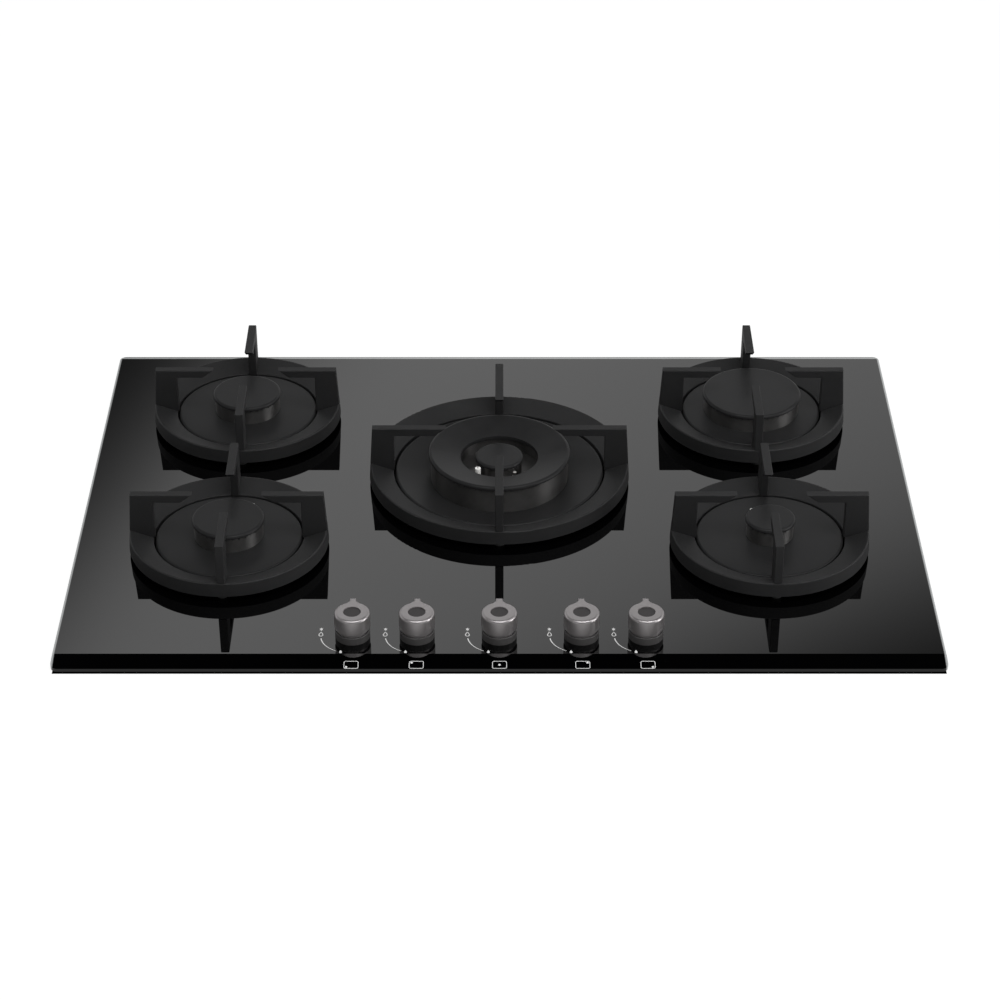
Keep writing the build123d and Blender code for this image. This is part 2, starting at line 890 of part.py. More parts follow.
# ---- Spark plugs and thermocouples ---------------------------------------------------------
with BuildPart() as spark_plugs:
    for burner in burners:
        x, y = sensors(burner)[0]
        top = glass_top + plug_height
        collar_top = glass_top + cover_height(burner) - sensor_seat_gap
        with BuildSketch(upright(x, y)):
            band(0, plug_radius, plug_bottom, top)
            band(0, plug_collar_radius, collar_top - plug_collar_height, collar_top)
            band(0, electrode_radius, top, top + electrode_height)
        revolve(axis=vertical_axis(x, y))
save(spark_plugs, "spark_plugs")

with BuildPart() as thermocouples:
    for burner in burners:
        x, y = sensors(burner)[1]
        top = glass_top + couple_height
        collar_top = glass_top + cover_height(burner) - sensor_seat_gap
        with BuildSketch(upright(x, y)):
            band(0, couple_radius, couple_bottom, top)
            band(0, plug_collar_radius, collar_top - plug_collar_height, collar_top)
            band(0, couple_tip_radius, top, top + couple_tip_height)
        revolve(axis=vertical_axis(x, y))
save(thermocouples, "thermocouples")


# ---- Knobs, bezels and spindles --------------------------------------------------------------
def d_section(radius, flat):
    """A round section with one flat, towards +Y."""
    Circle(radius)
    with Locations((0, flat + radius)):
        Rectangle(4 * radius, 2 * radius, mode=Mode.SUBTRACT)


def make_knob(x):
    with BuildPart() as knob:
        with BuildSketch(upright(x, knob_y, glass_top)):
            band(0, knob_radius, knob_base, knob_top)
            band(0, knob_hub_radius, knob_hub_base, knob_base)
        revolve(axis=vertical_axis(x, knob_y))
        with BuildSketch(level(x, knob_y, glass_top + knob_top)):
            with BuildLine():
                Polyline(
                    (-pointer_root_width / 2, pointer_root),
                    (-pointer_width / 2, pointer_shoulder),
                    (-pointer_width / 2, pointer_reach),
                    (pointer_width / 2, pointer_reach),
                    (pointer_width / 2, pointer_shoulder),
                    (pointer_root_width / 2, pointer_root),
                    close=True,
                )
            make_face()
        extrude(amount=-pointer_thickness)
        face = knob.faces().sort_by(Axis.Z)[-1]
        fillet(face.outer_wire().edges(), radius=knob_edge_round)
        with BuildSketch(level(x, knob_y, glass_top + knob_top)):
            Circle(knob_dish_radius)
        extrude(amount=-knob_dish_depth, mode=Mode.SUBTRACT)
        with BuildSketch(level(x, knob_y, glass_top + knob_hub_base)):
            d_section(spindle_radius + fit_clearance, spindle_flat + fit_clearance)
        extrude(amount=spindle_in_knob + fit_clearance, mode=Mode.SUBTRACT)
    return knob


def make_spindle(x):
    shaft_top = glass_top + knob_hub_base + spindle_in_knob
    with BuildPart() as spindle:
        with BuildSketch(level(x, knob_y, spindle_bottom)):
            d_section(spindle_radius, spindle_flat)
        extrude(amount=shaft_top - spindle_bottom)
        with BuildSketch(level(x, knob_y, spindle_collar_base)):
            Circle(spindle_collar_radius)
        extrude(amount=spindle_collar_height)
    return spindle


def make_tap_plug(x):
    """The plug that turns in the tap's body. The spindle slides in it and turns it."""
    with BuildPart() as plug:
        with BuildSketch(level(x, knob_y, tap_plug_bottom)):
            Circle(tap_plug_radius)
        extrude(amount=tap_plug_top - tap_plug_bottom)
        with BuildSketch(level(x, knob_y, tap_plug_top)):
            d_section(spindle_radius + fit_clearance, spindle_flat + fit_clearance)
        extrude(amount=spindle_bottom - knob_push - fit_clearance - tap_plug_top, mode=Mode.SUBTRACT)
        with BuildSketch(upright(x, knob_y)):
            with Locations((0, pipe_z)):
                Circle(gas_way_radius)
        extrude(amount=tap_plug_radius, both=True, mode=Mode.SUBTRACT)
    return plug


for index, x in enumerate(knob_x, start=1):
    save(make_knob(x), f"knob_{index}")
    save(make_spindle(x), f"tap_spindle_{index}")
    save(make_tap_plug(x), f"tap_plug_{index}")

with BuildPart() as knob_bezels:
    for x in knob_x:
        with BuildSketch(upright(x, knob_y, glass_top)):
            band(bezel_well, bezel_radius, 0, bezel_height)
            band(bezel_bore, bezel_well, 0, bezel_floor)
            band(bezel_bore, bezel_spigot, -glass_thickness, 0)
        revolve(axis=vertical_axis(x, knob_y))
    rims = knob_bezels.faces().filter_by(Axis.Z).sort_by(Axis.Z)[-len(knob_x):]
    fillet([face.outer_wire().edges() for face in rims], radius=bezel_edge_round)
save(knob_bezels, "knob_bezels")


# ---- Gas taps --------------------------------------------------------------------------------
rail_top = rail_z + rail_radius
outlet_end = knob_y + tap_back + tap_outlet_reach

with BuildPart() as tap_bodies:
    for x in knob_x:
        with BuildSketch(level(x, knob_y, tap_bottom)):
            with Locations((0, (tap_back - tap_front) / 2)):
                RectangleRounded(2 * tap_half_width, tap_front + tap_back, tap_corner)
        extrude(amount=tap_plug_top - tap_bottom)
        with BuildSketch(level(x, (knob_y + tap_back + rail_y) / 2, tap_bottom)):
            Rectangle(2 * tap_outlet_radius, rail_y - knob_y - tap_back)
        extrude(amount=rail_z - tap_bottom + gas_way_radius)
        tube_along(x, knob_y, pipe_z, 90, tap_outlet_radius, tap_back, tap_back + tap_outlet_reach)
        with BuildSketch(sideways(x - tap_half_width, 0)):
            with Locations((rail_y, rail_z)):
                Circle(rail_radius + rail_saddle_clearance)
        extrude(amount=2 * tap_half_width, mode=Mode.SUBTRACT)
        with BuildSketch(level(x, knob_y, tap_plug_top)):
            Circle(tap_plug_radius + tap_fit)
        extrude(amount=tap_plug_bottom - tap_seat_gap - tap_plug_top, mode=Mode.SUBTRACT)
        socket = tap_back + tap_outlet_reach - pipe_socket_depth
        tube_along(x, knob_y, pipe_z, 90, gas_way_radius, 0, socket, mode=Mode.SUBTRACT)
        tube_along(
            x, knob_y, pipe_z, 90, pipe_radius + fit_clearance, socket, tap_back + tap_outlet_reach,
            mode=Mode.SUBTRACT,
        )
save(tap_bodies, "tap_bodies")


# ---- Gas rail and inlet ------------------------------------------------------------------------
def pipe_along(points, bend, outer, inner=0.0):
    """A round tube along straight runs joined by tangent bends."""
    with BuildLine() as route:
        FilletPolyline(*points, radius=bend)
    with BuildSketch(Plane(origin=route.line @ 0, z_dir=route.line % 0)) as section:
        Circle(outer)
        if inner:
            Circle(inner, mode=Mode.SUBTRACT)
    sweep(section.sketch, path=route.line)


inlet_end = case_rear - inlet_socket_depth + rail_in_inlet

with BuildPart() as gas_rail:
    pipe_along(
        [(rail_left, rail_y, rail_z), (rail_right, rail_y, rail_z), (rail_right, inlet_end, rail_z)],
        rail_bend,
        rail_radius,
        rail_radius - rail_wall,
    )
    with BuildSketch(sideways(rail_left, rail_y, rail_z)):
        Circle(rail_radius)
    extrude(amount=rail_wall)
    foot_top = rail_z - rail_radius + rail_wall / 2
    for x, y in [(x, rail_y) for x in rail_foot_x] + [(rail_right, rail_foot_y)]:
        with BuildSketch(level(x, y, case_sheet)):
            Rectangle(rail_foot_width, rail_radius)
        extrude(amount=foot_top - case_sheet)
save(gas_rail, "gas_rail")

with BuildPart() as gas_inlet:
    rear = case_rear
    tube_along(inlet_x, rear, rail_z, 90, inlet_socket_radius, -inlet_socket_depth, 0)
    with BuildSketch(Plane(origin=(inlet_x, rear, rail_z), x_dir=(1, 0, 0), z_dir=(0, 1, 0))):
        RegularPolygon(inlet_flange_radius, 6)
    extrude(amount=inlet_flange_width)
    tube_along(
        inlet_x, rear, rail_z, 90, inlet_thread_radius, inlet_flange_width,
        inlet_flange_width + inlet_thread_length,
    )
    tube_along(
        inlet_x, rear, rail_z, 90, inlet_bore, -inlet_socket_depth,
        inlet_flange_width + inlet_thread_length, mode=Mode.SUBTRACT,
    )
    tube_along(
        inlet_x, rear, rail_z, 90, rail_radius + fit_clearance, -inlet_socket_depth,
        inlet_end - rear, mode=Mode.SUBTRACT,
    )
save(gas_inlet, "gas_inlet")


# ---- Pipes from the taps to the burner cups -------------------------------------------------------
def pipe_route(x, burner):
    """Out of a tap to the rear, then across to the burner's holder."""
    start = (x, outlet_end - pipe_socket_depth + fit_clearance, pipe_z)
    reach = burner.hole - glass_hole_gap - pipe_socket_depth + fit_clearance
    end = (*polar(burner, reach, burner.pipe_angle), pipe_z)
    if burner is wok:
        return [start, end]
    if burner.y == front_y:
        return [start, (x, burner.y, pipe_z), end]
    run_x = pipe_run_x if burner.x > 0 else -pipe_run_x
    slant_y = rail_y + pipe_first_run
    return [
        start,
        (x, slant_y, pipe_z),
        (run_x, slant_y + pipe_slant, pipe_z),
        (run_x, burner.y, pipe_z),
        end,
    ]


served = (front_left, rear_left, wok, rear_right, front_right)
with BuildPart() as gas_pipes:
    for x, burner in zip(knob_x, served):
        points = pipe_route(x, burner)
        if len(points) == 2:
            length = points[1][1] - points[0][1]
            tube_along(*points[0], 90, pipe_radius, 0, length)
            tube_along(*points[0], 90, pipe_radius - pipe_wall, 0, length, mode=Mode.SUBTRACT)
        else:
            bends = [pipe_bend] if len(points) == 3 else [pipe_tight_bend, pipe_bend, pipe_bend]
            pipe_along(points, bends, pipe_radius, pipe_radius - pipe_wall)
save(gas_pipes, "gas_pipes")


# ---- Ignition module, leads and switches -----------------------------------------------------------
module_left = module_x - module_width / 2
module_right = module_x + module_width / 2
module_front = module_y - module_depth / 2

with BuildPart() as ignition_module:
    with BuildSketch(level(module_x, module_y, case_sheet)):
        RectangleRounded(module_width, module_depth, module_corner)
    extrude(amount=module_height)
    fillet(ignition_module.faces().sort_by(Axis.Z)[-1].edges(), radius=module_corner / 2)
save(ignition_module, "ignition_module")

with BuildPart() as ignition_switches:
    for x in knob_x:
        left = x - tap_half_width - switch_width
        with BuildSketch(level(left + switch_width / 2, knob_y, case_sheet)):
            Rectangle(switch_width, switch_depth)
        extrude(amount=switch_top - case_sheet)
        lever_top = spindle_collar_base - knob_push - lever_gap
        with BuildSketch(level(left + switch_width / 2, knob_y, switch_top)):
            Rectangle(lever_thickness, lever_width)
        extrude(amount=lever_top - switch_top)
        lever_end = x - spindle_radius - lever_gap
        with BuildSketch(level((left + switch_width / 2 + lever_end) / 2, knob_y, lever_top)):
            Rectangle(lever_end - left - switch_width / 2 + lever_thickness, lever_width)
        extrude(amount=-lever_thickness)
save(ignition_switches, "ignition_switches")

spark_at = {burner.name: sensors(burner)[0] for burner in burners}
switch_left = [x - tap_half_width - switch_width for x in knob_x]
switch_right = [x - tap_half_width for x in knob_x]


def lead_to(plug, corner_x=None):
    """From the ignition module along the case's floor, then up to a spark plug."""
    x, y = spark_at[plug]
    rise = [(x, y, lead_z), (x, y, plug_bottom)]
    if corner_x is None:
        start_x = module_left if x < module_x else module_right
        return [(start_x, y, lead_z), *rise]
    return [(corner_x, module_front, lead_z), (corner_x, y, lead_z), *rise]


switch_lead_x = module_left + lead_to_switches
lead_routes = [
    lead_to("rear_left"),
    lead_to("rear_right"),
    lead_to("front_left", module_left + lead_front_left),
    lead_to("front_right", module_left + lead_front_right),
    lead_to("wok", module_left + lead_wok),
    [
        (switch_lead_x, module_front, lead_z),
        (switch_lead_x, knob_y - lead_offset, lead_z),
        (switch_right[0], knob_y - lead_offset, lead_z),
    ],
]

with BuildPart() as ignition_leads:
    for points in lead_routes:
        pipe_along(points, lead_bend, lead_radius)
    for start_x, end_x in zip(switch_right, switch_left[1:]):
        tube_along(start_x, knob_y + lead_offset, lead_z, 0, lead_radius, 0, end_x - start_x)
save(ignition_leads, "ignition_leads")


# ---- Mains inlet: a terminal box inside the rear wall, with a spout for the cord -------------------
with BuildPart() as mains_inlet:
    inner_wall = case_rear - case_sheet
    with BuildSketch(level(mains_x, inner_wall - mains_box_depth / 2, case_sheet)):
        Rectangle(mains_box_width, mains_box_depth)
    extrude(amount=mains_box_height)
    tube_along(mains_x, inner_wall, mains_z, 90, mains_spout_radius, 0, case_sheet + mains_spout_reach)
    spout_end = case_sheet + mains_spout_reach
    tube_along(
        mains_x, inner_wall, mains_z, 90, mains_bore, spout_end - mains_bore_depth, spout_end,
        mode=Mode.SUBTRACT,
    )
save(mains_inlet, "mains_inlet")
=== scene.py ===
# %% [markdown]
# # A built-in gas hob, dressed over its CAD frame
# The CAD model already holds every solid at its real size and in its real place.
# This notebook adds what an eye sees: the finish of each surface, the ink printed on
# the glass, soft studio light, and a camera where the photographer stood.
# Lengths are metres, +Z is up, and the knobs are on the front, the -Y side.

# %% Load the fixed frame
import json
from math import cos, degrees, pi, radians, sin, tau

import bmesh
import bpy
from mathutils import Matrix, Vector


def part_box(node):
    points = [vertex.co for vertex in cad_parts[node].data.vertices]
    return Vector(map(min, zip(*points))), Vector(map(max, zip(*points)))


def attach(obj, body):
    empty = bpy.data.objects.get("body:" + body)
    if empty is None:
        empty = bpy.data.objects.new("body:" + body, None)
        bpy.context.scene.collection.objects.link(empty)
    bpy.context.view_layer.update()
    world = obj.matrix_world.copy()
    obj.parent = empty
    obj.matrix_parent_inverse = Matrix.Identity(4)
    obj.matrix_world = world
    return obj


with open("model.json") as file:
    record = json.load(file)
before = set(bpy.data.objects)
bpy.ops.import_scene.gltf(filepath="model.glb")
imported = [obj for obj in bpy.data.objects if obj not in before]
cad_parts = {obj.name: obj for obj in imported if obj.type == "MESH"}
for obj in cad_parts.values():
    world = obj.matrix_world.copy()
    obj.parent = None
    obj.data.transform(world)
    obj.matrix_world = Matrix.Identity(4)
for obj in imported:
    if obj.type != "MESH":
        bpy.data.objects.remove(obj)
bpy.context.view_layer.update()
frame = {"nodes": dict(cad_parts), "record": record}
nodes = frame["nodes"]
mm = 0.001
glass_low, glass_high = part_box("glass_panel")
glass_top = glass_high.z
glass_width = glass_high.x - glass_low.x
print(f"{len(nodes)} nodes, glass {glass_width:.3f} m wide, top at {glass_top:.3f} m")

# %% [markdown]
# ## The camera
# A camera was fitted to the photo from the edges of the glass and the rings of the
# pan supports. It is a long lens without any shift, looking down by about 33 degrees.
# A long lens keeps the far burners almost as large as the near ones, as in the photo.

# %% Set the camera
lens_length = 100.25
sensor_width = 36.0
look_down = radians(32.58)
eye_position = Vector((0.0006, -2.1402, 1.4185))

lens = bpy.data.cameras.new("photo_camera")
lens.lens = lens_length
lens.sensor_width = sensor_width
camera = bpy.data.objects.new("photo_camera", lens)
camera.location = eye_position
camera.rotation_euler = (pi / 2 - look_down, 0, 0)
bpy.context.scene.collection.objects.link(camera)
bpy.context.scene.camera = camera
bpy.context.scene.view_settings.view_transform = "Standard"
print(f"camera {eye_position.length:.2f} m from the hob's centre")

# %% [markdown]
# ## Shader maths in plain Python
# A finish is a small graph of nodes. Wiring each one by hand hides the idea, so one
# class wraps a socket and lets Python's own operators add the Math nodes. Every other
# node comes from one method: its type, its settings, then what goes into its sockets.

# %% A socket that can be used in expressions
class Flow:
    """A socket of a node tree that takes part in Python expressions."""

    def __init__(self, tree, socket=None):
        self.tree = tree
        self.socket = socket

    def node(self, kind, settings=None, inputs=None, output=0):
        """Add a node of any type and return one of its outputs."""
        made = self.tree.nodes.new(kind)
        for name, value in (settings or {}).items():
            setattr(made, name, value)
        for name, value in (inputs or {}).items():
            if isinstance(value, Flow):
                self.tree.links.new(value.socket, made.inputs[name])
            else:
                made.inputs[name].default_value = value
        return Flow(self.tree, made.outputs[output] if made.outputs else None)

    def maths(self, operation, *others):
        sockets = dict(enumerate((self, *others)))
        return self.node("ShaderNodeMath", {"operation": operation}, sockets)

    def __add__(self, other):
        return self.maths("ADD", other)

    def __sub__(self, other):
        return self.maths("SUBTRACT", other)

    def __rsub__(self, other):
        return self.maths("MULTIPLY", -1.0).maths("ADD", other)

    def __mul__(self, other):
        return self.maths("MULTIPLY", other)

    def __truediv__(self, other):
        return self.maths("DIVIDE", other)

    def __rtruediv__(self, other):
        return self.maths("POWER", -1.0).maths("MULTIPLY", other)

    def __gt__(self, other):
        return self.maths("GREATER_THAN", other)

    __radd__ = __add__
    __rmul__ = __mul__

    def size(self):
        return self.maths("ABSOLUTE")

    def step_up(self, start, end):
        """0 before start, 1 after end and a smooth climb between."""
        return self.node(
            "ShaderNodeMapRange",
            {"interpolation_type": "SMOOTHSTEP"},
            {"Value": self, "From Min": start, "From Max": end},
        )

    def logistic(self):
        """An S curve from 0 to 1 with its middle at 0."""
        return 1.0 / (1.0 + (self * -1.0).maths("EXPONENT"))


print("shader class ready")

# %% [markdown]
# ## One way to make every finish
# Each finish is a Principled surface. Numbers that are the same all over go straight
# on its sockets. What varies, such as grain or wear, comes in as a flow. A finish is
# then a short function that says only what is special about it.

# %% Helpers for finishes
def new_finish(name):
    """An empty material and a flow in its node tree."""
    made = bpy.data.materials.new(name)
    made.use_nodes = True
    made.node_tree.nodes.clear()
    return made, Flow(made.node_tree)


def surface(flow, **sockets):
    """A Principled surface. Socket names are written with _ for a space."""
    inputs = {name.replace("_", " "): value for name, value in sockets.items()}
    shader = flow.node("ShaderNodeBsdfPrincipled", inputs=inputs)
    flow.node("ShaderNodeOutputMaterial", inputs={"Surface": shader})


def spot(flow):
    """Where a point of the surface lies in the hob's own frame."""
    return flow.node("ShaderNodeTexCoord", output="Object")


def split(vector):
    """The three parts of a vector."""
    apart = vector.tree.nodes.new("ShaderNodeSeparateXYZ")
    vector.tree.links.new(vector.socket, apart.inputs[0])
    return [Flow(vector.tree, output) for output in apart.outputs]


def grain(place, scale, detail=3.0, roughness=0.55):
    """Noise from 0 to 1, with scale as its number of grains in a metre."""
    return place.node(
        "ShaderNodeTexNoise",
        inputs={"Vector": place, "Scale": scale, "Detail": detail, "Roughness": roughness},
    )


def blend_colours(amount, first, second):
    """From the first colour to the second as the amount goes from 0 to 1."""
    colours = {0: amount, 6: (*first, 1.0), 7: (*second, 1.0)}
    return amount.node("ShaderNodeMix", {"data_type": "RGBA"}, colours, output=2)


def relief(height, depth, strength):
    """A bump that stands depth metres high where the height flow is 1."""
    inputs = {"Height": height, "Distance": depth, "Strength": strength}
    return height.node("ShaderNodeBump", inputs=inputs)


print("helpers ready")

# %% [markdown]
# ## Black glass
# The top is clear toughened glass, printed black underneath, so it looks like a black
# mirror. Gloss alone makes the look: the colour stays near zero. Wiping leaves faint
# streaks, which only change the roughness. Near its polished rim a pale line is painted
# into the colour at the sides: painted light for daylight that enters the clear edge and
# for its reflection there. At the rear the painted line lies a little way in, so two soft
# steps, one up and one down, shape it.

# %% Make the black glass
side_rim_width = 2.3 * mm
rear_line_start = 4.6 * mm
rear_line_end = 1.9 * mm
rear_line_soft = (1.0 * mm, 0.6 * mm)
edge_share = 0.3
ink_black = (0.0006, 0.0006, 0.0007)
# The grey of the painted edge light, a painted stand-in for light through the clear edge.
painted_edge_light_grey = (0.42, 0.43, 0.43)


def make_black_glass():
    made, flow = new_finish("black_glass")
    place = spot(flow)
    x, y = split(place)[:2]
    side_start = glass_high.x - side_rim_width
    painted_side_light = x.size().step_up(side_start, side_start + side_rim_width / 2)
    line_start = glass_high.y - rear_line_start
    line_end = glass_high.y - rear_line_end
    line_in = y.step_up(line_start, line_start + rear_line_soft[0])
    line_out = y.step_up(line_end, line_end + rear_line_soft[1])
    painted_rear_light = line_in * (1.0 - (1.0 - edge_share) * line_out)
    # Painted light: a pale line along the edges stands in for light through the clear edge and
    # its reflection.
    painted_edge_light = painted_side_light.maths("MAXIMUM", painted_rear_light)
    smear = grain(place, 9.0, detail=5.0).step_up(0.35, 0.8)
    surface(
        flow,
        Base_Color=blend_colours(painted_edge_light * 0.9, ink_black, painted_edge_light_grey),
        Roughness=smear * 0.02 + painted_edge_light * 0.12 + 0.004,
        IOR=1.52,
    )
    return made


black_glass = make_black_glass()
print("black glass ready")

# %% [markdown]
# ## Cast iron and enamel
# The pan supports are sand cast and coated with matt black enamel, which keeps a fine
# pebbled skin from the mould. The pressed plates and the caps carry a thinner, smoother
# enamel with a soft orange-peel. All are black, so the grain and the gloss tell them apart.

# %% Make the cast iron
def make_cast_iron():
    made, flow = new_finish("cast_iron")
    place = spot(flow)
    pebble = grain(place, 900.0, detail=4.0, roughness=0.6)
    cloud = grain(place, 26.0, detail=3.0)
    surface(
        flow,
        Base_Color=blend_colours(cloud, (0.012, 0.012, 0.0124), (0.02, 0.02, 0.0204)),
        Roughness=0.5 + 0.16 * pebble,
        Specular_IOR_Level=0.24,
        Normal=relief(pebble, 0.09 * mm, 0.7),
    )
    return made


cast_iron = make_cast_iron()
print("cast iron ready")


# %% Make the enamels
def make_enamel(name, dark, light, rough, shine, skin_depth):
    """Vitreous enamel on steel, with an orange-peel skin."""
    made, flow = new_finish(name)
    place = spot(flow)
    skin = grain(place, 240.0, detail=2.0)
    dust = grain(place, 60.0, detail=5.0)
    surface(
        flow,
        Base_Color=blend_colours(dust, dark, light),
        Roughness=rough + 0.12 * dust,
        Specular_IOR_Level=shine,
        Normal=relief(skin, skin_depth, 0.6),
    )
    return made


plate_blacks = (0.014, 0.014, 0.0144), (0.021, 0.021, 0.0215)
cap_blacks = (0.015, 0.015, 0.0154), (0.022, 0.022, 0.0225)
plate_enamel = make_enamel("plate_enamel", *plate_blacks, 0.38, 0.14, 0.05 * mm)
cap_enamel = make_enamel("cap_enamel", *cap_blacks, 0.3, 0.1, 0.04 * mm)
print("enamels ready")

# %% [markdown]
# ## Metals
# Each metal is told apart by how it was made. Turned and brushed pieces have fine
# rings or lines, castings have a sandy skin, zinc plating has soft clouds and
# galvanised sheet has crystals. One function covers the castings and platings.

# %% Make the cast and plated metals
def make_plain_metal(name, colour, rough, grains, depth):
    """A metal with an even, fine skin from casting, drawing or plating."""
    made, flow = new_finish(name)
    place = spot(flow)
    skin = grain(place, grains, detail=3.0)
    cloud = grain(place, 40.0, detail=2.0)
    shade = tuple(0.82 * part for part in colour)
    surface(
        flow,
        Base_Color=blend_colours(cloud, shade, colour),
        Metallic=1.0,
        Roughness=rough + 0.14 * skin,
        Normal=relief(skin, depth, 0.5),
    )
    return made


cup_alloy = make_plain_metal("cup_alloy", (0.6, 0.6, 0.61), 0.42, 500.0, 0.08 * mm)
tap_alloy = make_plain_metal("tap_alloy", (0.62, 0.62, 0.63), 0.4, 500.0, 0.07 * mm)
pipe_alloy = make_plain_metal("pipe_alloy", (0.72, 0.72, 0.73), 0.25, 300.0, 0.02 * mm)
rail_steel = make_plain_metal("rail_steel", (0.6, 0.6, 0.6), 0.32, 300.0, 0.02 * mm)
bracket_steel = make_plain_metal("bracket_steel", (0.62, 0.63, 0.64), 0.3, 300.0, 0.02 * mm)
screw_steel = make_plain_metal("screw_steel", (0.55, 0.55, 0.56), 0.28, 400.0, 0.02 * mm)
brass = make_plain_metal("brass", (0.72, 0.52, 0.24), 0.24, 350.0, 0.02 * mm)
spindle_steel = make_plain_metal("spindle_steel", (0.64, 0.64, 0.64), 0.22, 600.0, 0.01 * mm)
sensor_metal = make_plain_metal("sensor_metal", (0.8, 0.78, 0.75), 0.3, 500.0, 0.02 * mm)
print("cast and plated metals ready")

# %% [markdown]
# A crown is an aluminium casting, darkened by heat, whose wall is turned on a lathe.
# The tool's fine grooves spread a lamp's image up and down the wall into a tall band.
# Anisotropy does just that: it is rougher across the grooves than along them. Soot
# dulls the casting, so it is not metal throughout.

# %% Make the turned crowns
def make_crown_alloy():
    made, flow = new_finish("crown_alloy")
    place = spot(flow)
    soot = grain(place, 90.0, detail=4.0)
    skin = grain(place, 700.0, detail=3.0)
    surface(
        flow,
        Base_Color=blend_colours(soot, (0.13, 0.127, 0.125), (0.07, 0.069, 0.068)),
        Metallic=0.85,
        Roughness=0.37 + 0.12 * soot,
        Anisotropic=0.85,
        Anisotropic_Rotation=0.25,
        Normal=relief(skin, 0.03 * mm, 0.5),
    )
    return made


crown_alloy = make_crown_alloy()
print("turned crowns ready")


# %% Make the galvanised case
def make_case_steel():
    made, flow = new_finish("case_steel")
    place = spot(flow)
    inputs = {"Vector": place, "Scale": 95.0}
    crystals = place.node("ShaderNodeTexVoronoi", inputs=inputs, output="Color")
    tone = split(crystals)[0]
    surface(
        flow,
        Base_Color=blend_colours(tone, (0.46, 0.47, 0.48), (0.62, 0.63, 0.64)),
        Metallic=1.0,
        Roughness=0.3 + 0.16 * tone,
    )
    return made


case_steel = make_case_steel()
print("case steel ready")

# %% [markdown]
# ## The knobs
# A knob is turned from stainless steel with a warm tint. Its flat top carries fine
# rings round its own axis and its wall fine level lines, so both come from the
# distance to the nearest knob's axis and from the height. The dish is darker.

# %% Make the knob metal
knob_centres = []
for number in range(1, 6):
    low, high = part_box(f"knob_{number}")
    knob_centres.append(Vector(((low.x + high.x) / 2, low.y + (high.x - low.x) / 2, high.z)))
knob_top = knob_centres[0].z
dish_radius = 7.5 * mm
dish_soft = 0.2 * mm
wall_end = 2.0 * mm
top_start = 1.5 * mm
ring_pitch = 0.35 * mm
warm_steel = (0.4, 0.38, 0.382)
dark_dish = (0.09, 0.085, 0.086)


def make_knob_metal(name, centre):
    made, flow = new_finish(name)
    place = spot(flow)
    x, y, z = split(place)
    across = x - centre.x
    along = y - centre.y
    radius = (across * across + along * along).maths("SQRT")
    on_top = z.step_up(knob_top - wall_end, knob_top - top_start)
    in_dish = on_top * (1.0 - radius.step_up(dish_radius - dish_soft, dish_radius))
    rings = flow.node("ShaderNodeCombineXYZ", inputs={0: radius, 1: z, 2: z})
    lines = grain(rings, 1.0 / ring_pitch, detail=2.0)
    surface(
        flow,
        Base_Color=blend_colours(in_dish, warm_steel, dark_dish),
        Metallic=0.85,
        Roughness=0.27 + 0.16 * lines + 0.1 * in_dish,
        Normal=relief(lines, 0.012 * mm, 0.6),
    )
    return made


knob_metals = []
for number, centre in enumerate(knob_centres, start=1):
    knob_metals.append(make_knob_metal(f"knob_metal_{number}", centre))
print(f"{len(knob_metals)} knob finishes, knob tops at {knob_top:.4f} m")

# %% [markdown]
# ## Plastics, rubber and ceramic
# These are not metals, so their colour carries the look. Moulded plastic has a fine
# spark-eroded texture, silicone and rubber are softer and duller. A spark plug is
# glazed white ceramic with a steel pin on top, which one finish divides by height.

# %% Make the moulded finishes
def make_moulded(name, colour, rough, grains, depth):
    """Plastic, rubber or silicone from a mould with a fine texture."""
    made, flow = new_finish(name)
    place = spot(flow)
    skin = grain(place, grains, detail=2.0)
    shade = tuple(0.86 * part for part in colour)
    surface(
        flow,
        Base_Color=blend_colours(grain(place, 70.0), shade, colour),
        Roughness=rough + 0.1 * skin,
        Specular_IOR_Level=0.4,
        Normal=relief(skin, depth, 0.5),
    )
    return made


bezel_plastic = make_moulded("bezel_plastic", (0.055, 0.053, 0.053), 0.3, 900.0, 0.01 * mm)
seal_foam = make_moulded("seal_foam", (0.03, 0.03, 0.03), 0.8, 1200.0, 0.1 * mm)
support_rubber = make_moulded("support_rubber", (0.025, 0.025, 0.025), 0.7, 900.0, 0.03 * mm)
module_plastic = make_moulded("module_plastic", (0.8, 0.8, 0.78), 0.45, 900.0, 0.02 * mm)
lead_sleeve = make_moulded("lead_sleeve", (0.74, 0.73, 0.69), 0.5, 700.0, 0.02 * mm)
switch_plastic = make_moulded("switch_plastic", (0.06, 0.06, 0.06), 0.45, 900.0, 0.02 * mm)
inlet_plastic = make_moulded("inlet_plastic", (0.04, 0.04, 0.04), 0.5, 900.0, 0.02 * mm)
print("moulded finishes ready")

# %% Make the glazed ceramic
plug_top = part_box("spark_plugs")[1].z
pin_length = 1.5 * mm


def make_plug_ceramic():
    made, flow = new_finish("plug_ceramic")
    place = spot(flow)
    z = split(place)[2]
    pin = z > plug_top - pin_length
    glaze = grain(place, 180.0, detail=2.0)
    surface(
        flow,
        Base_Color=blend_colours(pin, (0.86, 0.85, 0.82), (0.45, 0.44, 0.43)),
        Metallic=pin,
        Roughness=0.14 + 0.08 * glaze + 0.15 * pin,
    )
    return made


plug_ceramic = make_plug_ceramic()
print("ceramic ready")

# %% [markdown]
# ## Put each finish on its node
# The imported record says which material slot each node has, and a slot's name here is
# the finish's name. Only the material slots of the CAD objects change, never a mesh.

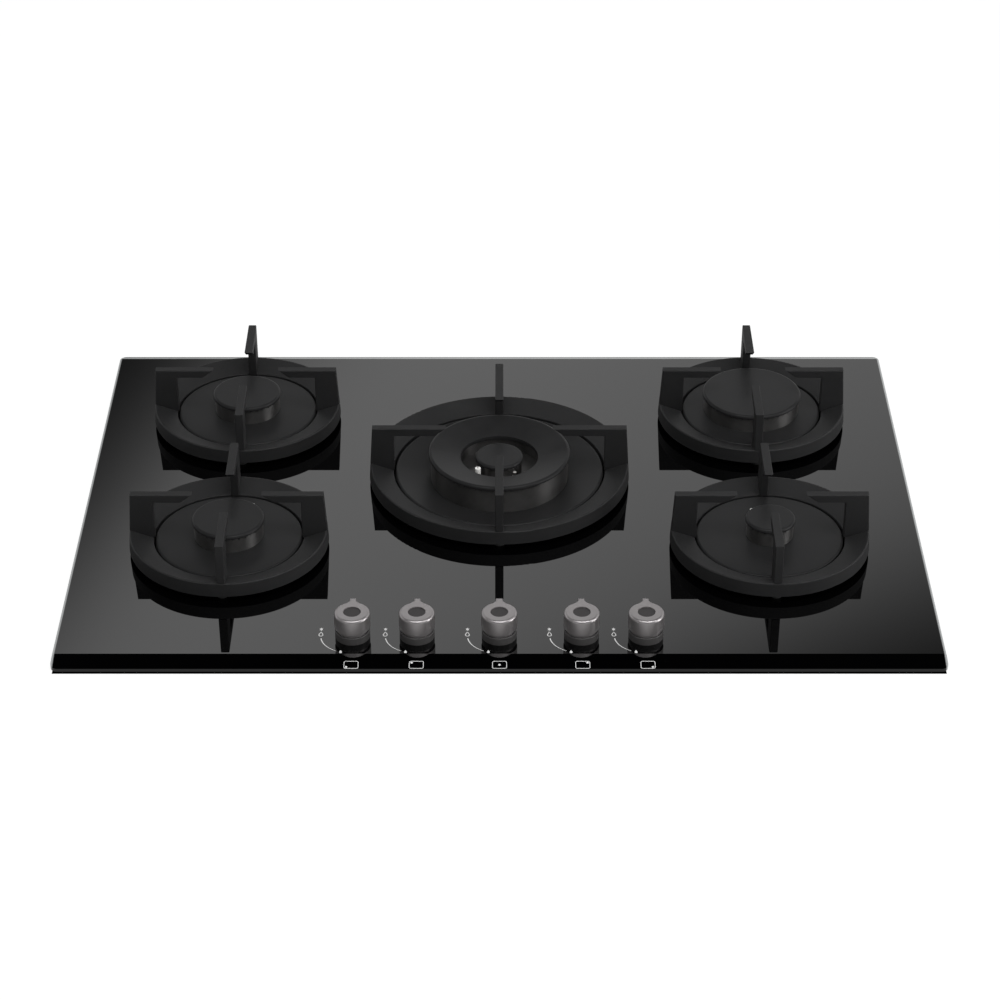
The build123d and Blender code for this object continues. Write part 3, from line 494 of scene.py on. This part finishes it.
# %% Assign the finishes
finish_of_slot = {
    "black_glass": black_glass,
    "seal_foam": seal_foam,
    "case_steel": case_steel,
    "bracket_steel": bracket_steel,
    "screw_steel": screw_steel,
    "cast_iron": cast_iron,
    "support_rubber": support_rubber,
    "plate_enamel": plate_enamel,
    "cap_enamel": cap_enamel,
    "crown_alloy": crown_alloy,
    "cup_alloy": cup_alloy,
    "brass": brass,
    "tap_alloy": tap_alloy,
    "pipe_alloy": pipe_alloy,
    "rail_steel": rail_steel,
    "bezel_plastic": bezel_plastic,
    "spindle_steel": spindle_steel,
    "plug_ceramic": plug_ceramic,
    "sensor_metal": sensor_metal,
    "module_plastic": module_plastic,
    "lead_sleeve": lead_sleeve,
    "switch_plastic": switch_plastic,
    "inlet_plastic": inlet_plastic,
}


def put_on(piece, finish):
    """Fill every material slot of a piece with one finish."""
    if not piece.material_slots:
        piece.data.materials.append(finish)
    for slot in piece.material_slots:
        slot.link = "OBJECT"
        slot.material = finish


slot_of_node = {part["node"]: part["material_slot"] for part in frame["record"]["subparts"]}
for name, piece in nodes.items():
    if name.startswith("knob_") and name[-1].isdigit():
        put_on(piece, knob_metals[int(name[-1]) - 1])
    else:
        put_on(piece, finish_of_slot[slot_of_node[name]])
print(f"{len(nodes)} nodes have a finish")

# %% [markdown]
# ## Marks printed on the glass
# White ceramic ink lies on the glass beside each knob: a spark and a large flame, an
# arc that thins towards a small flame, and on the bevel a small outline of the hob
# with a dot at the knob's own burner. Ink is a real layer, so each mark is a closed
# film a few hundredths of a millimetre thick, built in bmesh and laid on the glass.

# %% Tools to lay ink
ink_sink = 0.01 * mm
ink_proud = 0.05 * mm


def film(mesh, tops, bottoms, closed):
    """Join matching rows of top and bottom points into a closed film of four-sided faces."""
    count = len(tops)
    turns = count if closed else count - 1
    for index in range(turns):
        following = (index + 1) % count
        for near, far in ((tops, tops), (bottoms, bottoms)):
            face = [near[index][0], near[index][1], far[following][1], far[following][0]]
            mesh.faces.new(face if near is tops else face[::-1])
        for side in (0, 1):
            wall = [tops[index][side], tops[following][side]]
            wall += [bottoms[following][side], bottoms[index][side]]
            mesh.faces.new(wall if side == 0 else wall[::-1])
    if not closed:
        mesh.faces.new([tops[0][0], tops[0][1], bottoms[0][1], bottoms[0][0]][::-1])
        mesh.faces.new([tops[-1][0], tops[-1][1], bottoms[-1][1], bottoms[-1][0]])


def stroke(mesh, path, widths, lay, closed=False):
    """A line of ink along a path, as wide at each point as widths says."""
    count = len(path)
    tops, bottoms = [], []
    for index, point in enumerate(path):
        before = path[index - 1] if index or closed else point
        after = path[(index + 1) % count] if index < count - 1 or closed else point
        along = (after - before).normalized()
        half = Vector((-along.y, along.x)) * widths[index] / 2
        for row, height in ((tops, ink_proud), (bottoms, -ink_sink)):
            ends = [lay @ Vector((*(point + sign * half), height)) for sign in (1, -1)]
            row.append([mesh.verts.new(end) for end in ends])
    film(mesh, tops, bottoms, closed)


def patch(mesh, outline, lay):
    """A filled shape of ink."""
    tops = [mesh.verts.new(lay @ Vector((*point, ink_proud))) for point in outline]
    bottoms = [mesh.verts.new(lay @ Vector((*point, -ink_sink))) for point in outline]
    mesh.faces.new(tops)
    mesh.faces.new(bottoms[::-1])
    for index in range(len(outline)):
        following = (index + 1) % len(outline)
        mesh.faces.new([tops[following], tops[index], bottoms[index], bottoms[following]])


print("ink tools ready")

# %% Shapes of the marks
flame_pinch = 0.75
flame_belly = 1.18


def drop_outline(centre, width, height, steps=28):
    """A flame: round below and drawn to a point above."""
    points = []
    for step in range(steps):
        turn = tau * step / steps
        pinch = ((1 - cos(turn)) / 2) ** flame_pinch
        reach = pinch * width / 2 * flame_belly
        points.append(centre + Vector((-sin(turn) * reach, cos(turn) * height / 2)))
    return points


def star_outline(centre, width, height, waist, rays):
    """A spark with pointed rays. Between them it is as wide as waist, a share of the rays."""
    points = []
    for step in range(2 * rays):
        reach = waist if step % 2 else 1.0
        turn = pi * step / rays + pi / 2
        points.append(centre + reach / 2 * Vector((width * cos(turn), height * sin(turn))))
    return points


def rounded_outline(centre, width, height, corner, steps=5):
    """A rectangle with round corners."""
    points = []
    for quarter, (side, end) in enumerate(((1, 1), (-1, 1), (-1, -1), (1, -1))):
        pivot = centre + Vector((side * (width / 2 - corner), end * (height / 2 - corner)))
        for step in range(steps):
            turn = pi / 2 * (quarter + step / (steps - 1))
            points.append(pivot + corner * Vector((cos(turn), sin(turn))))
    return points


def disc_outline(centre, radius, steps=20):
    turns = [tau * step / steps for step in range(steps)]
    return [centre + radius * Vector((cos(turn), sin(turn))) for turn in turns]


print("mark shapes ready")

# %% [markdown]
# The arc bends round the knob. A quadratic curve through a start, a pull point and an
# end gives that bend, and the width of the ink falls evenly along it.

# %% Print the marks
mark_x = -27.0 * mm
spark_y = 9.0 * mm
spark_size = (3.5 * mm, 4.8 * mm)
spark_waist = 0.55
spark_rays = 6
flame_y = 2.1 * mm
flame_size = (4.0 * mm, 6.2 * mm)
small_flame_size = (2.9 * mm, 4.4 * mm)
small_flame_place = Vector((-9.2, -23.3)) * mm
line_width = 0.75 * mm
arc_start = Vector((-26.6, -4.3)) * mm
arc_pull = Vector((-24.6, -16.2)) * mm
arc_end = Vector((-13.2, -22.3)) * mm
arc_widths = (0.95 * mm, 0.4 * mm)
arc_steps = 16
bevel_width = 17.4 * mm
bevel_top = glass_low.y + bevel_width
bevel_tilt = radians(10.4)
outline_size = (11.8 * mm, 8.2 * mm)
outline_corner = 1.4 * mm
outline_place = Vector((0.2, -12.9)) * mm
outline_width = 0.5 * mm
dot_radius = 1.05 * mm
dot_reach = Vector((4.0, 2.5)) * mm
dot_sides = ((-1, -1), (-1, 1), (0, 0), (1, 1), (1, -1))


def make_print_ink():
    made, flow = new_finish("print_ink")
    place = spot(flow)
    speckle = grain(place, 1500.0, detail=2.0)
    surface(
        flow,
        Base_Color=blend_colours(speckle, (0.66, 0.66, 0.66), (0.84, 0.84, 0.83)),
        Roughness=0.45 + 0.15 * speckle,
        Specular_IOR_Level=0.3,
    )
    return made


def print_marks(number, centre, sides, ink):
    mesh = bmesh.new()
    flat = Matrix.Translation((centre.x, centre.y, glass_top))
    bevel_start = Matrix.Translation((centre.x, bevel_top, glass_top))
    slope = bevel_start @ Matrix.Rotation(bevel_tilt, 4, "X")
    spark = star_outline(Vector((mark_x, spark_y)), *spark_size, spark_waist, spark_rays)
    patch(mesh, spark, flat)
    flame = drop_outline(Vector((mark_x, flame_y)), *flame_size)
    stroke(mesh, flame, [line_width] * len(flame), flat, closed=True)
    patch(mesh, drop_outline(small_flame_place, *small_flame_size), flat)
    arc, widths = [], []
    for step in range(arc_steps + 1):
        share = step / arc_steps
        bend = arc_start.lerp(arc_pull, share).lerp(arc_pull.lerp(arc_end, share), share)
        arc.append(bend)
        widths.append(arc_widths[0] + (arc_widths[1] - arc_widths[0]) * share)
    stroke(mesh, arc, widths, flat)
    frame_line = rounded_outline(outline_place, *outline_size, outline_corner)
    stroke(mesh, frame_line, [outline_width] * len(frame_line), slope, closed=True)
    dot = outline_place + Vector((sides[0] * dot_reach.x, sides[1] * dot_reach.y))
    patch(mesh, disc_outline(dot, dot_radius), slope)
    bmesh.ops.recalc_face_normals(mesh, faces=mesh.faces)
    name = f"printed_marks_{number}"
    data = bpy.data.meshes.new(name)
    mesh.to_mesh(data)
    mesh.free()
    piece = bpy.data.objects.new(name, data)
    bpy.context.scene.collection.objects.link(piece)
    put_on(piece, ink)
    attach(piece, "hob")


print_ink = make_print_ink()
for number, (centre, sides) in enumerate(zip(knob_centres, dot_sides), start=1):
    print_marks(number, centre, sides, print_ink)
print("marks printed beside the five knobs")

# %% [markdown]
# ## The worktop and the background
# The hob sits in a pale worktop, level with the underside of its seal. A plane with a
# cut-out stands in for it, so that the case hangs through as it does in a kitchen.
# The camera sees it white, mirrors see it duller, and the object's shadow still
# darkens it a little. Under the glass it is painted plain black, a painted shadow where no
# light gets in, which leaves the thin dark line below the front edge. From below it
# vanishes, so the case shows.

# %% Make the worktop
worktop_size = 9.0
worktop_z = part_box("glass_seal")[0].z
cut_out_half = (0.28, 0.24)
worktop_paint = 0.8
seen_white = 0.9
shadow_share = 0.14
mirror_drop = 0.45
hidden_inset = 1.5 * mm
hidden_outset = 0.5 * mm
hidden_reach = (glass_high.x - hidden_inset, glass_high.y + hidden_outset)


def seen_rays(flow):
    """Two masks: rays from mirrors, and rays from the camera, mirrors or through glass."""
    path = flow.tree.nodes.new("ShaderNodeLightPath")
    kinds = ("Is Camera Ray", "Is Glossy Ray", "Is Transmission Ray")
    camera_ray, glossy_ray, through_ray = [Flow(flow.tree, path.outputs[kind]) for kind in kinds]
    return glossy_ray, (camera_ray + glossy_ray + through_ray).maths("MINIMUM", 1.0)


def mix_shaders(amount, first, second):
    """The first shader where the amount is 0 and the second where it is 1."""
    return amount.node("ShaderNodeMixShader", inputs={0: amount, 1: first, 2: second})


def matt(flow, level):
    """A matt grey shader."""
    return flow.node("ShaderNodeBsdfDiffuse", inputs={"Color": (level, level, level, 1.0)})


def make_worktop_white():
    made, flow = new_finish("worktop_white")
    glossy_ray, seen = seen_rays(flow)
    x, y = split(spot(flow))[:2]
    beside = (x.size() > hidden_reach[0]).maths("MAXIMUM", y.size() > hidden_reach[1])
    plain = matt(flow, worktop_paint)
    shaded = matt(flow, shadow_share)
    white = seen_white - mirror_drop * glossy_ray
    glow = flow.node("ShaderNodeEmission", inputs={"Strength": white})
    bright = flow.node("ShaderNodeAddShader", inputs={0: shaded, 1: glow})
    # Inside the hidden reach the worktop is plain black: a painted shadow under and just past
    # the edge of the glass.
    top = mix_shaders(seen, plain, mix_shaders(beside, matt(flow, 0.0), bright))
    under = flow.node("ShaderNodeNewGeometry", output="Backfacing")
    clear = flow.node("ShaderNodeBsdfTransparent")
    flow.node("ShaderNodeOutputMaterial", inputs={"Surface": mix_shaders(under, top, clear)})
    return made


def make_worktop():
    mesh = bmesh.new()
    half = worktop_size / 2
    corners = ((1, 1), (-1, 1), (-1, -1), (1, -1))
    wide, deep = cut_out_half
    outer = [mesh.verts.new((x * half, y * half, worktop_z)) for x, y in corners]
    inner = [mesh.verts.new((x * wide, y * deep, worktop_z)) for x, y in corners]
    for index in range(4):
        following = (index + 1) % 4
        mesh.faces.new([outer[index], outer[following], inner[following], inner[index]])
    data = bpy.data.meshes.new("worktop")
    mesh.to_mesh(data)
    mesh.free()
    worktop = bpy.data.objects.new("worktop", data)
    bpy.context.scene.collection.objects.link(worktop)
    put_on(worktop, make_worktop_white())


make_worktop()
print(f"worktop at {worktop_z:.3f} m")

# %% [markdown]
# ## The studio
# What a black mirror shows is the studio itself. In the photo a bright panel stands
# low behind the hob: its reflection fills the glass, fades towards the rear left and
# the front right corners, and ends before the bevel, which looks up into darkness. The
# world draws that panel from the direction of a ray. Its two soft edges are S curves.
# Three windows, high at the right, high in front and low at the right, light the rims
# of the knobs and caps and the walls of the crowns. Only mirrors see panel and windows:
# the camera sees white, and matt surfaces get an even light. Directions are a turn from
# straight behind towards the right and a rise above level, both in degrees.

# %% Light the world
panel_light = 1.56
panel_fall = 0.028
upper_turn, upper_rise, upper_slope, upper_soft = 7.0, 35.25, 0.43, 1.05
lower_turn, lower_rise, lower_slope, lower_soft = -9.12, 32.7, 1.1, 1.2
panel_side, panel_side_soft = 20.0, 2.5
panel_foot, panel_foot_soft = 22.0, 1.5
rear_glow = 0.9
front_glow = 0.06
front_sharpness = 8.0
glow_top, glow_top_soft = 40.0, 3.0
zenith_light = 0.03
window_soft = 2.0
right_place, right_light = ((85.0, 160.0), (43.0, 68.0)), 2.0
front_place, front_light = ((120.0, 200.0), (50.0, 80.0)), 4.8
low_place, low_light = ((88.0, 112.0), (-2.0, 30.0)), 7.0
ambient_light = 0.75


def sky_window(turn, rise, place):
    """1 for directions inside a window, given by its turns and its rises, with soft edges."""
    (near, far), (low, high) = place
    across = ((turn - near) / window_soft).logistic() * ((far - turn) / window_soft).logistic()
    upward = ((rise - low) / window_soft).logistic() * ((high - rise) / window_soft).logistic()
    return across * upward


def light_world():
    world = bpy.data.worlds.new("studio")
    bpy.context.scene.world = world
    world.use_nodes = True
    world.node_tree.nodes.clear()
    flow = Flow(world.node_tree)
    x, y, z = split(flow.node("ShaderNodeTexCoord", output="Generated"))
    turn = x.maths("ARCTAN2", y) * degrees(1)
    rise = z.maths("ARCSINE") * degrees(1)
    above = upper_rise - rise - upper_slope * (turn - upper_turn)
    upper_right = (above / upper_soft).logistic()
    below = turn - lower_turn + lower_slope * (rise - lower_rise)
    lower_left = (below / lower_soft).logistic()
    panel = (panel_light - panel_fall * turn) * upper_right * lower_left
    between = ((panel_side - turn.size()) / panel_side_soft).logistic()
    behind = between * ((rise - panel_foot) / panel_foot_soft).logistic()
    in_front = (y * -front_sharpness).logistic()
    glow = rear_glow - (rear_glow - front_glow) * in_front
    around = glow * ((glow_top - rise) / glow_top_soft).logistic() + zenith_light
    right_window = sky_window(turn, rise, right_place)
    front_window = sky_window(turn.size(), rise, front_place)
    low_window = sky_window(turn, rise, low_place)
    lights = right_light * right_window + front_light * front_window + low_light * low_window
    studio = around * (1.0 - behind) + panel * behind + lights
    glossy_ray, seen = seen_rays(flow)
    strength = (seen - glossy_ray) + glossy_ray * studio + (1.0 - seen) * ambient_light
    light = flow.node("ShaderNodeBackground", inputs={"Strength": strength})
    flow.node("ShaderNodeOutputWorld", inputs={"Surface": light})


light_world()
print("world lit")

# %% [markdown]
# Two soft lamps give shape. A wide one overhead lights the tops and drops a soft shadow
# under each arm. A low one at the front right picks out the sides of the fingers.
# Mirrors see the windows of the world instead of these lamps, so the glass stays black
# from above.

# %% Hang the lamps
def hang_lamp(name, position, width, power):
    data = bpy.data.lights.new(name, "AREA")
    data.shape = "SQUARE"
    data.size = width
    data.energy = power
    lamp = bpy.data.objects.new(name, data)
    lamp.location = position
    aim = Vector((0, 0, glass_top)) - lamp.location
    lamp.rotation_euler = aim.to_track_quat("-Z", "Y").to_euler()
    lamp.visible_glossy = False
    bpy.context.scene.collection.objects.link(lamp)


hang_lamp("side_lamp", Vector((1.9, -1.2, 0.7)), 0.8, 21.0)
hang_lamp("overhead_lamp", Vector((0.1, -0.6, 2.2)), 1.2, 15.0)
print("lamps hung")
